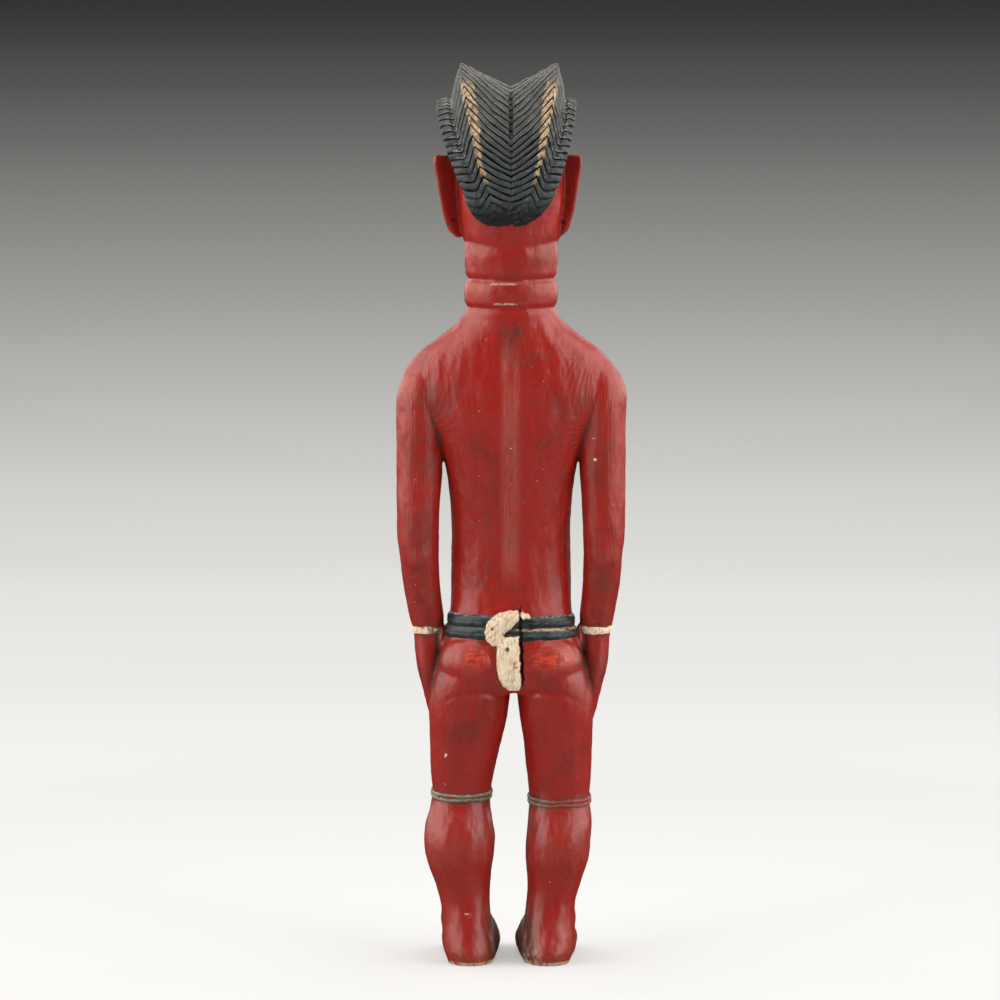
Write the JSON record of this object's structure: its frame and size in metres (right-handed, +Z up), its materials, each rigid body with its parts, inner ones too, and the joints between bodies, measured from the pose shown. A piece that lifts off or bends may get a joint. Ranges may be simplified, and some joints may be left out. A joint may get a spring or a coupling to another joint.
{
  "type": "spirit spouse figure",
  "caption": "Standing figure carved from solid wood and painted, with crested hair, ringed neck, arms at its sides, corded belt, cloth, bracelets and garters.",
  "frame": {"origin": "on the ground, under the middle of the figure's box", "axes": "+Z up; the figure faces -Y; its own left hand is at +X"},
  "size_m": [0.1146, 0.0754, 0.4506],
  "materials": {
    "painted_wood": "semi-gloss red paint over carved wood, worn at the edges, with black hair and cream and blue-black dress"
  },
  "bodies": {
    "root": {"figure": "painted_wood"}
  },
  "joints": []
}
